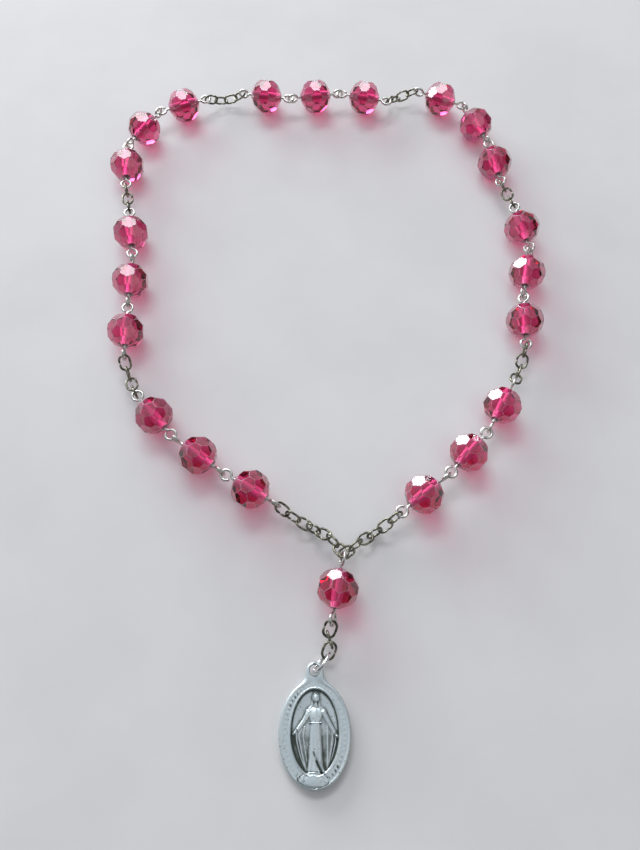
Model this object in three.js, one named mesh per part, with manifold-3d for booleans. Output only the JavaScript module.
// A chaplet rosary laid out on a flat surface: seven groups of three faceted beads in a ring,
// joined by short link chains, and below them a drop bead, a jump ring and an oval medal.
// Units are millimetres. +Z is up, +Y runs from the medal to the far side of the ring.
import * as THREE from 'three';
import { mergeVertices } from 'three/addons/utils/BufferGeometryUtils.js';
import Module from 'manifold-3d';

const wasm = await Module();
wasm.setup();

// Beads
const BEAD_LENGTH = 7.6; // along the bore
const FACET_DISTANCE = 3.85; // bead centre to each facet
const FACETS_AROUND = 8;
const FACET_ROWS = [-46, 0, 46]; // degrees from the bead's waist towards its ends
const BORE_DIAMETER = 1.5;

// Eye pins: one wire through each bead, with a loop at each end
const PIN_WIRE = 0.75;
const PIN_REACH = 7.2; // bead centre to the far wire of a loop
const EYE_RADIUS = 1.25; // centre line of a loop
const DROP_EYE_RADIUS = 1.4; // the loop that both halves of the ring hang from
const DROP_EYE_REACH = 7.3;
const EYE_START = 200; // degrees round the loop, where the shank joins it
const EYE_END = 510;
const EYE_BENDS = 9;
const SHANK_HALF = 4.1;

// Chain links
const LINK_WIRE = 0.6;
const LINK_LENGTH = 3.15; // centre lines
const LINK_WIDTH = 2.35;
const LINK_BENDS = 10;

// Jump ring and medal
const RING_WIRE = 0.65;
const RING_RADIUS = 2.1; // centre line
const RING_HEIGHT = 2.45; // middle of the ring, which leans on the surface
const RING_LEAN = 76; // degrees up from flat
const RING_BENDS = 16;
const MEDAL_WIDTH = 13.2;
const MEDAL_HEIGHT = 18.6;
const MEDAL_THICKNESS = 1.9;
const FIELD_WIDTH = 9;
const FIELD_HEIGHT = 14.6;
const FIELD_RISE = 0.4; // the sunk field sits a little above the middle of the medal
const FIELD_DEPTH = 0.55;
const RIM_WIDTH = 0.6;
const BAND_DEPTH = 0.2;
const BAIL_RADIUS = 1.75;
const BAIL_HOLE_RADIUS = 1.05;
const BAIL_RISE = 10.9; // medal centre to the middle of the bail hole
const BAIL_THICKNESS = 0.7;
const NECK_WIDTH = 1.6; // joins the bail to the medal's rim
const OVAL_CORNERS = 36;

// How the pieces hook into each other, between the centre lines of the two wires
const HOOK_PINS = 1.05;
const HOOK_PIN_LINK = 1.0;
const HOOK_LINKS = 1; // two links that turn on each other
const HOOK_FUSED = 0.5; // links inside one chain piece, which run into each other
const HOOK_JUNCTION = 1.35;
const HOOK_RING = 1.1;
const JUNCTION_STAGGER = 0.5; // the two chains pass the drop loop one above the other

const STRING_HEIGHT = 3.9; // bore height of a bead that lies on the surface
const WIRE_SIDES = 6;
const CUT = 20; // side of the blocks that cut the facets

// The lie of the string, in degrees. Headings turn anticlockwise from +X seen from above, slopes are up
// from level, and rolls turn a loop about the string: 0 lies flat and 90 stands on edge.
// Each run goes outwards from the junction, group by group: a chain with the heading and slope of each
// link, then pins with heading, roll of the near loop, roll of the far loop and slack in millimetres.
const LEFT_RUN = [
  {
    chain: [[118, 0], [136, -28], [147, -24], [150, -8], [150, 6], [148, 16], [146, 22]],
    pins: [[149, 90, 0, 0], [144, 90, 90, 0], [131, 0, 0, 0]],
  },
  {
    chain: [[118, -28], [114, -18], [109, 18], [104, 28]],
    pins: [[92, 90, 0, 0], [91, 90, 90, 0.1], [99, 0, 0, 0]],
  },
  {
    chain: [[103, -8], [103, 0], [100, 8]],
    pins: [[93, 0, 0, 0.2], [58, 90, 90, 0.4], [20, 0, 0, 0.4]],
  },
  {
    chain: [[24, -32], [16, -22], [6, 22], [0, 32]],
    pins: [[-8, 90, 0, 0.5], [8, 90, 90, 0.5], [-12, 0, 0, 0.5]],
  },
];
const RIGHT_RUN = [
  {
    chain: [[43, -12], [37, -24], [33, -10], [32, 10], [34, 22], [36, 26]],
    pins: [[38, 0, 90, 0], [47, 0, 0, 0], [60, 90, 90, 0]],
  },
  {
    chain: [[60, -28], [66, -18], [71, 18], [76, 28]],
    pins: [[86, 0, -35, 0.3], [77, 50, 50, 0.4], [101, -35, -35, 0.4]],
  },
  {
    chain: [[104, -8], [111, 0], [111, 8]],
    pins: [[99, -35, 0, 0.5], [113, 90, 90, 0.4], [157, 0, 90, 0.2]],
  },
  { chain: [[172, -24], [198, -14], [222, 10]], pins: [] },
];
const DROP_PIN_HEADING = -100;
const DROP_LINKS = [[-113, -25], [-72, -19], [-114, -13]];
const RING_HEADING = -128;
const MEDAL_HEADING = -90;
const LEFT_SPLIT = 4; // links in the first piece of the long left chain
const RIGHT_SPLIT = 3;

const silver = () => new THREE.MeshStandardMaterial({ color: 0xc9c8c0, roughness: 0.3, metalness: 1 });
const darkBrass = () => new THREE.MeshStandardMaterial({ color: 0x77756a, roughness: 0.4, metalness: 1 });
const raspberry = () => new THREE.MeshStandardMaterial({ color: 0xb81f4a, roughness: 0.08, metalness: 0 });
const greyMetal = () => new THREE.MeshStandardMaterial({ color: 0xaeb4b5, roughness: 0.45, metalness: 1 });

const radians = THREE.MathUtils.degToRad;
const onEdge = 90;

// ---- solids ----

function solidFrom(geometry) {
  const bare = geometry.clone();
  bare.deleteAttribute('normal');
  bare.deleteAttribute('uv');
  const merged = mergeVertices(bare, 1e-4);
  const vertProperties = new Float32Array(merged.attributes.position.array);
  const triVerts = new Uint32Array(merged.index.array);
  return new wasm.Manifold(new wasm.Mesh({ numProp: 3, vertProperties, triVerts }));
}

function geometryFrom(solid) {
  const mesh = solid.getMesh();
  const geometry = new THREE.BufferGeometry();
  geometry.setAttribute('position', new THREE.BufferAttribute(new Float32Array(mesh.vertProperties), 3));
  geometry.setIndex(new THREE.BufferAttribute(new Uint32Array(mesh.triVerts), 1));
  return geometry;
}

// A wire bent at each given point, with its section set square to the bend.
class BentWire extends THREE.Curve {
  constructor(points) {
    super();
    this.points = points;
  }

  getPointAt(u) {
    const last = this.points.length - 1;
    return this.points[Math.round(u * last)].clone();
  }

  getTangentAt(u) {
    const last = this.points.length - 1;
    const here = Math.round(u * last);
    const before = this.points[Math.max(here - 1, 0)];
    const after = this.points[Math.min(here + 1, last)];
    return after.clone().sub(before).normalize();
  }
}

function regularShape(radius, sides) {
  const corners = [];
  for (let i = 0; i < sides; i += 1) {
    const angle = (2 * Math.PI * i) / sides;
    corners.push(new THREE.Vector2(radius * Math.cos(angle), radius * Math.sin(angle)));
  }
  return new THREE.Shape(corners);
}

function wireGeometry(points, diameter) {
  const section = regularShape(diameter / 2, WIRE_SIDES);
  const extrudePath = new BentWire(points);
  return new THREE.ExtrudeGeometry(section, { steps: points.length - 1, bevelEnabled: false, extrudePath });
}

// ---- bead ----

function beadGeometry() {
  let solid = solidFrom(new THREE.BoxGeometry(BEAD_LENGTH, CUT / 2, CUT / 2));
  FACET_ROWS.forEach((latitude) => {
    for (let i = 0; i < FACETS_AROUND; i += 1) {
      const around = (360 / FACETS_AROUND) * (i + (latitude ? 0.5 : 0));
      const block = new THREE.BoxGeometry(CUT, CUT, CUT);
      block.translate(0, 0, FACET_DISTANCE + CUT / 2);
      block.rotateY(radians(latitude));
      block.rotateX(radians(around));
      solid = solid.subtract(solidFrom(block));
    }
  });
  const bore = new THREE.CylinderGeometry(BORE_DIAMETER / 2, BORE_DIAMETER / 2, CUT / 2, 8);
  bore.rotateZ(Math.PI / 2);
  return geometryFrom(solid.subtract(solidFrom(bore)));
}

// ---- eye pin ----

// Bend points of the loop at the +X end, from the shank round to the wire's tip.
function eyePoints(radius, reach) {
  const points = [];
  for (let i = 0; i <= EYE_BENDS; i += 1) {
    const angle = radians(EYE_START + ((EYE_END - EYE_START) * i) / EYE_BENDS);
    const x = reach - radius + radius * Math.cos(angle);
    points.push(new THREE.Vector3(x, radius * Math.sin(angle), 0));
  }
  return points;
}

// The loop at the +X end lies in the XY plane, the one at the -X end is turned about X by the twist.
function pinGeometry(twist, nearEye) {
  const xAxis = new THREE.Vector3(1, 0, 0);
  const start = eyePoints(nearEye.radius, nearEye.reach).reverse();
  start.forEach((p) => p.setX(-p.x).applyAxisAngle(xAxis, radians(twist)));
  const shank = [new THREE.Vector3(-SHANK_HALF, 0, 0), new THREE.Vector3(SHANK_HALF, 0, 0)];
  return wireGeometry([...start, ...shank, ...eyePoints(EYE_RADIUS, PIN_REACH)], PIN_WIRE);
}

// ---- chain link ----

// A round ring whose halves are pulled apart, which leaves straight sides between them.
function linkGeometry() {
  const ring = new THREE.TorusGeometry(LINK_WIDTH / 2, LINK_WIRE / 2, WIRE_SIDES, LINK_BENDS);
  const position = ring.attributes.position;
  const pull = (LINK_LENGTH - LINK_WIDTH) / 2;
  for (let i = 0; i < position.count; i += 1) {
    position.setX(i, position.getX(i) + Math.sign(position.getX(i)) * pull);
  }
  return ring;
}

// ---- medal ----

function ovalShape(width, height, corners) {
  const points = [];
  for (let i = 0; i < corners; i += 1) {
    const angle = (2 * Math.PI * i) / corners;
    points.push(new THREE.Vector2((width / 2) * Math.cos(angle), (height / 2) * Math.sin(angle)));
  }
  return new THREE.Shape(points);
}

function plate(shape, bottom, top) {
  const geometry = new THREE.ExtrudeGeometry(shape, { depth: top - bottom, bevelEnabled: false });
  geometry.translate(0, 0, bottom);
  return geometry;
}

// Standing figure in low relief: robe, cloak, open arms, head and the globe underfoot.
function figureSolids(floor, top) {
  const outline = [
    [-1.5, -6.2], [1.7, -6.2], [1.3, -1.5], [3.4, -0.6], [4.0, 0.1], [3.3, 0.9],
    [1.9, 2.6], [1.1, 4.1], [0.5, 4.5], [-0.5, 4.5], [-1.2, 4.0], [-1.9, 2.6],
    [-3.2, 1.2], [-4.0, 0.4], [-3.4, -0.3], [-1.3, -1.2],
  ];
  const robe = plate(new THREE.Shape(outline.map(([x, y]) => new THREE.Vector2(x, y))), floor, top);
  const head = plate(ovalShape(1.3, 1.9, 10), floor, top);
  head.translate(0, 5.2, 0);
  const globe = plate(ovalShape(4.4, 2.2, 12), floor, top - 0.1);
  globe.translate(0, -6.6, 0);
  return [robe, head, globe].map(solidFrom);
}

// The medal hangs from its bail hole, so the hole is at the origin.
function medalGeometry() {
  const bandFloor = MEDAL_THICKNESS - BAND_DEPTH;
  const fieldFloor = MEDAL_THICKNESS - FIELD_DEPTH;
  const bandWidth = MEDAL_WIDTH - 2 * RIM_WIDTH;
  const bandHeight = MEDAL_HEIGHT - 2 * RIM_WIDTH;
  const field = plate(ovalShape(FIELD_WIDTH, FIELD_HEIGHT, OVAL_CORNERS), fieldFloor, CUT);
  field.translate(0, FIELD_RISE, 0);
  const bail = plate(regularShape(BAIL_RADIUS, 16), MEDAL_THICKNESS - BAIL_THICKNESS, MEDAL_THICKNESS);
  bail.translate(0, BAIL_RISE, 0);
  const neck = new THREE.BoxGeometry(NECK_WIDTH, BAIL_RADIUS, BAIL_THICKNESS);
  neck.translate(0, MEDAL_HEIGHT / 2 + RIM_WIDTH / 2, MEDAL_THICKNESS - BAIL_THICKNESS / 2);
  const hole = plate(regularShape(BAIL_HOLE_RADIUS, 12), -1, CUT);
  hole.translate(0, BAIL_RISE, 0);
  let solid = solidFrom(plate(ovalShape(MEDAL_WIDTH, MEDAL_HEIGHT, OVAL_CORNERS), 0, MEDAL_THICKNESS));
  solid = solid.subtract(solidFrom(plate(ovalShape(bandWidth, bandHeight, OVAL_CORNERS), bandFloor, CUT)));
  solid = solid.subtract(solidFrom(field));
  figureSolids(fieldFloor - 0.1, MEDAL_THICKNESS - 0.1).forEach((part) => {
    solid = solid.add(part);
  });
  solid = solid.add(solidFrom(bail)).add(solidFrom(neck)).subtract(solidFrom(hole));
  return geometryFrom(solid).translate(0, -BAIL_RISE, 0);
}

// ---- laying the pieces end to end ----

const rosary = new THREE.Group();
rosary.name = 'rosary';

// Unit vector for a heading and a slope, both in degrees.
function direction(heading, slope) {
  const level = Math.cos(radians(slope));
  return new THREE.Vector3(
    level * Math.cos(radians(heading)),
    level * Math.sin(radians(heading)),
    Math.sin(radians(slope)),
  );
}

// The next place on the string: where the piece starts, its centre, its far wire and its direction.
function placeAfter(last, hook, reach, heading, slope) {
  const run = direction(heading, slope);
  const start = last.end.clone().addScaledVector(last.run.clone().add(run), -hook / 2);
  const centre = start.clone().addScaledVector(run, reach);
  const end = centre.clone().addScaledVector(run, reach);
  return { start, centre, end, run, heading, slope };
}

// The same place with its bead resting on the surface.
function levelled(place) {
  [place.start, place.centre, place.end].forEach((point) => point.setZ(STRING_HEIGHT));
  return place;
}

// A group at the place's centre, with +X along the string, turned about it by the roll.
function frameAt(place, roll) {
  const frame = new THREE.Group();
  frame.position.copy(place.centre);
  frame.rotation.order = 'ZYX';
  frame.rotation.set(radians(roll), radians(-place.slope), radians(place.heading));
  frame.updateMatrix();
  return frame;
}

function addMesh(frame, name, geometry, material) {
  const mesh = new THREE.Mesh(geometry, material);
  mesh.name = name;
  frame.add(mesh);
  rosary.add(frame);
}

const EYE = { radius: EYE_RADIUS, reach: PIN_REACH };
const DROP_EYE = { radius: DROP_EYE_RADIUS, reach: DROP_EYE_REACH };
const bead = beadGeometry();
const link = linkGeometry();

// A bead on its pin, with the roll of the loop where the string comes in and of the one where it leaves.
function addBead(label, place, nearRoll, farRoll, nearEye) {
  addMesh(frameAt(place, farRoll), `pin_${label}`, pinGeometry(nearRoll - farRoll, nearEye), silver());
  addMesh(frameAt(place, 0), `bead_${label}`, bead, raspberry());
}

// Links laid along the places and joined into one piece, flat and on edge in turn.
function addChain(name, places, firstRoll) {
  const home = frameAt(places[0], 0);
  const toHome = home.matrix.clone().invert();
  const links = places.map((place, i) => {
    const roll = firstRoll + onEdge * (i % 2);
    return solidFrom(link.clone().applyMatrix4(frameAt(place, roll).matrix).applyMatrix4(toHome));
  });
  addMesh(home, name, geometryFrom(links.reduce((chain, next) => chain.add(next))), darkBrass());
}

// Places of the links of one chain piece, from their headings and slopes.
function chainPlaces(last, lie, hook) {
  const places = [];
  lie.forEach(([heading, slope], i) => {
    const from = i ? places[i - 1] : last;
    places.push(placeAfter(from, i ? HOOK_FUSED : hook, LINK_LENGTH / 2, heading, slope));
  });
  return places;
}

// One half of the ring, outwards from the junction. Its beads are numbered from 'number' by 'step'.
function addRun(side, run, junction, split, number, step) {
  let last = junction;
  let label = number;
  run.forEach(({ chain, pins }, i) => {
    const cut = i ? chain.length : split;
    const firstRoll = i ? onEdge + last.farRoll : 0;
    const near = chainPlaces(last, chain.slice(0, cut), i ? HOOK_PIN_LINK : HOOK_JUNCTION);
    addChain(`chain_${side}_${i + 1}`, near, firstRoll);
    last = near[near.length - 1];
    if (cut < chain.length) {
      const far = chainPlaces(last, chain.slice(cut), HOOK_LINKS);
      addChain(`chain_${side}_${i + 1}_far`, far, firstRoll + onEdge * (cut % 2));
      last = far[far.length - 1];
    }
    pins.forEach(([heading, nearRoll, farRoll, slack], k) => {
      const hook = slack + (k ? HOOK_PINS : HOOK_PIN_LINK);
      const place = levelled(placeAfter(last, hook, PIN_REACH, heading, 0));
      addBead(String(label).padStart(2, '0'), place, nearRoll, farRoll, EYE);
      last = { ...place, farRoll };
      label += step;
    });
  });
}

// The drop bead's pin hangs from the junction, with a wide loop on edge that both chains hook.
const junction = { end: new THREE.Vector3(0, 0, STRING_HEIGHT), run: new THREE.Vector3() };
const dropPin = placeAfter(junction, 0, DROP_EYE.reach, DROP_PIN_HEADING, 0);
dropPin.end.copy(dropPin.centre).addScaledVector(dropPin.run, PIN_REACH);
addBead('drop', dropPin, onEdge, onEdge, DROP_EYE);

const upward = direction(DROP_PIN_HEADING + 180, 0);
const above = new THREE.Vector3(0, 0, STRING_HEIGHT + JUNCTION_STAGGER);
const below = new THREE.Vector3(0, 0, STRING_HEIGHT - JUNCTION_STAGGER);
addRun('left', LEFT_RUN, { end: above, run: upward }, LEFT_SPLIT, 1, 1);
addRun('right', RIGHT_RUN, { end: below, run: upward }, RIGHT_SPLIT, 21, -1);

// Single links below the drop bead, then the jump ring and the medal.
let last = dropPin;
DROP_LINKS.forEach(([heading, slope], i) => {
  last = placeAfter(last, i ? HOOK_LINKS : HOOK_PIN_LINK, LINK_LENGTH / 2, heading, slope);
  addMesh(frameAt(last, onEdge * (i % 2)), `drop_link_${i + 1}`, link, darkBrass());
});

const ringPlace = placeAfter(last, HOOK_RING, RING_RADIUS, RING_HEADING, 0);
ringPlace.centre.z = RING_HEIGHT;
const ring = new THREE.TorusGeometry(RING_RADIUS, RING_WIRE / 2, WIRE_SIDES, RING_BENDS);
addMesh(frameAt(ringPlace, RING_LEAN), 'jump_ring', ring, silver());

// The bail hole takes the ring where the ring passes through the bail's height.
const bailLevel = MEDAL_THICKNESS - BAIL_THICKNESS / 2;
const drop = (RING_HEIGHT - bailLevel) / Math.sin(radians(RING_LEAN));
const along = Math.sqrt(RING_RADIUS ** 2 - drop ** 2);
const aside = drop * Math.cos(radians(RING_LEAN));
const medalFrame = new THREE.Group();
medalFrame.position.copy(ringPlace.centre).addScaledVector(ringPlace.run, along);
medalFrame.position.addScaledVector(direction(RING_HEADING + 90, 0), -aside).setZ(0);
medalFrame.rotation.z = radians(MEDAL_HEADING + 90);
addMesh(medalFrame, 'medal', medalGeometry(), greyMetal());

// The origin is on the surface, under the middle of the whole rosary.
const box = new THREE.Box3().setFromObject(rosary, true);
const middle = box.getCenter(new THREE.Vector3()).setZ(box.min.z);
rosary.children.forEach((frame) => frame.position.sub(middle));

export default rosary;
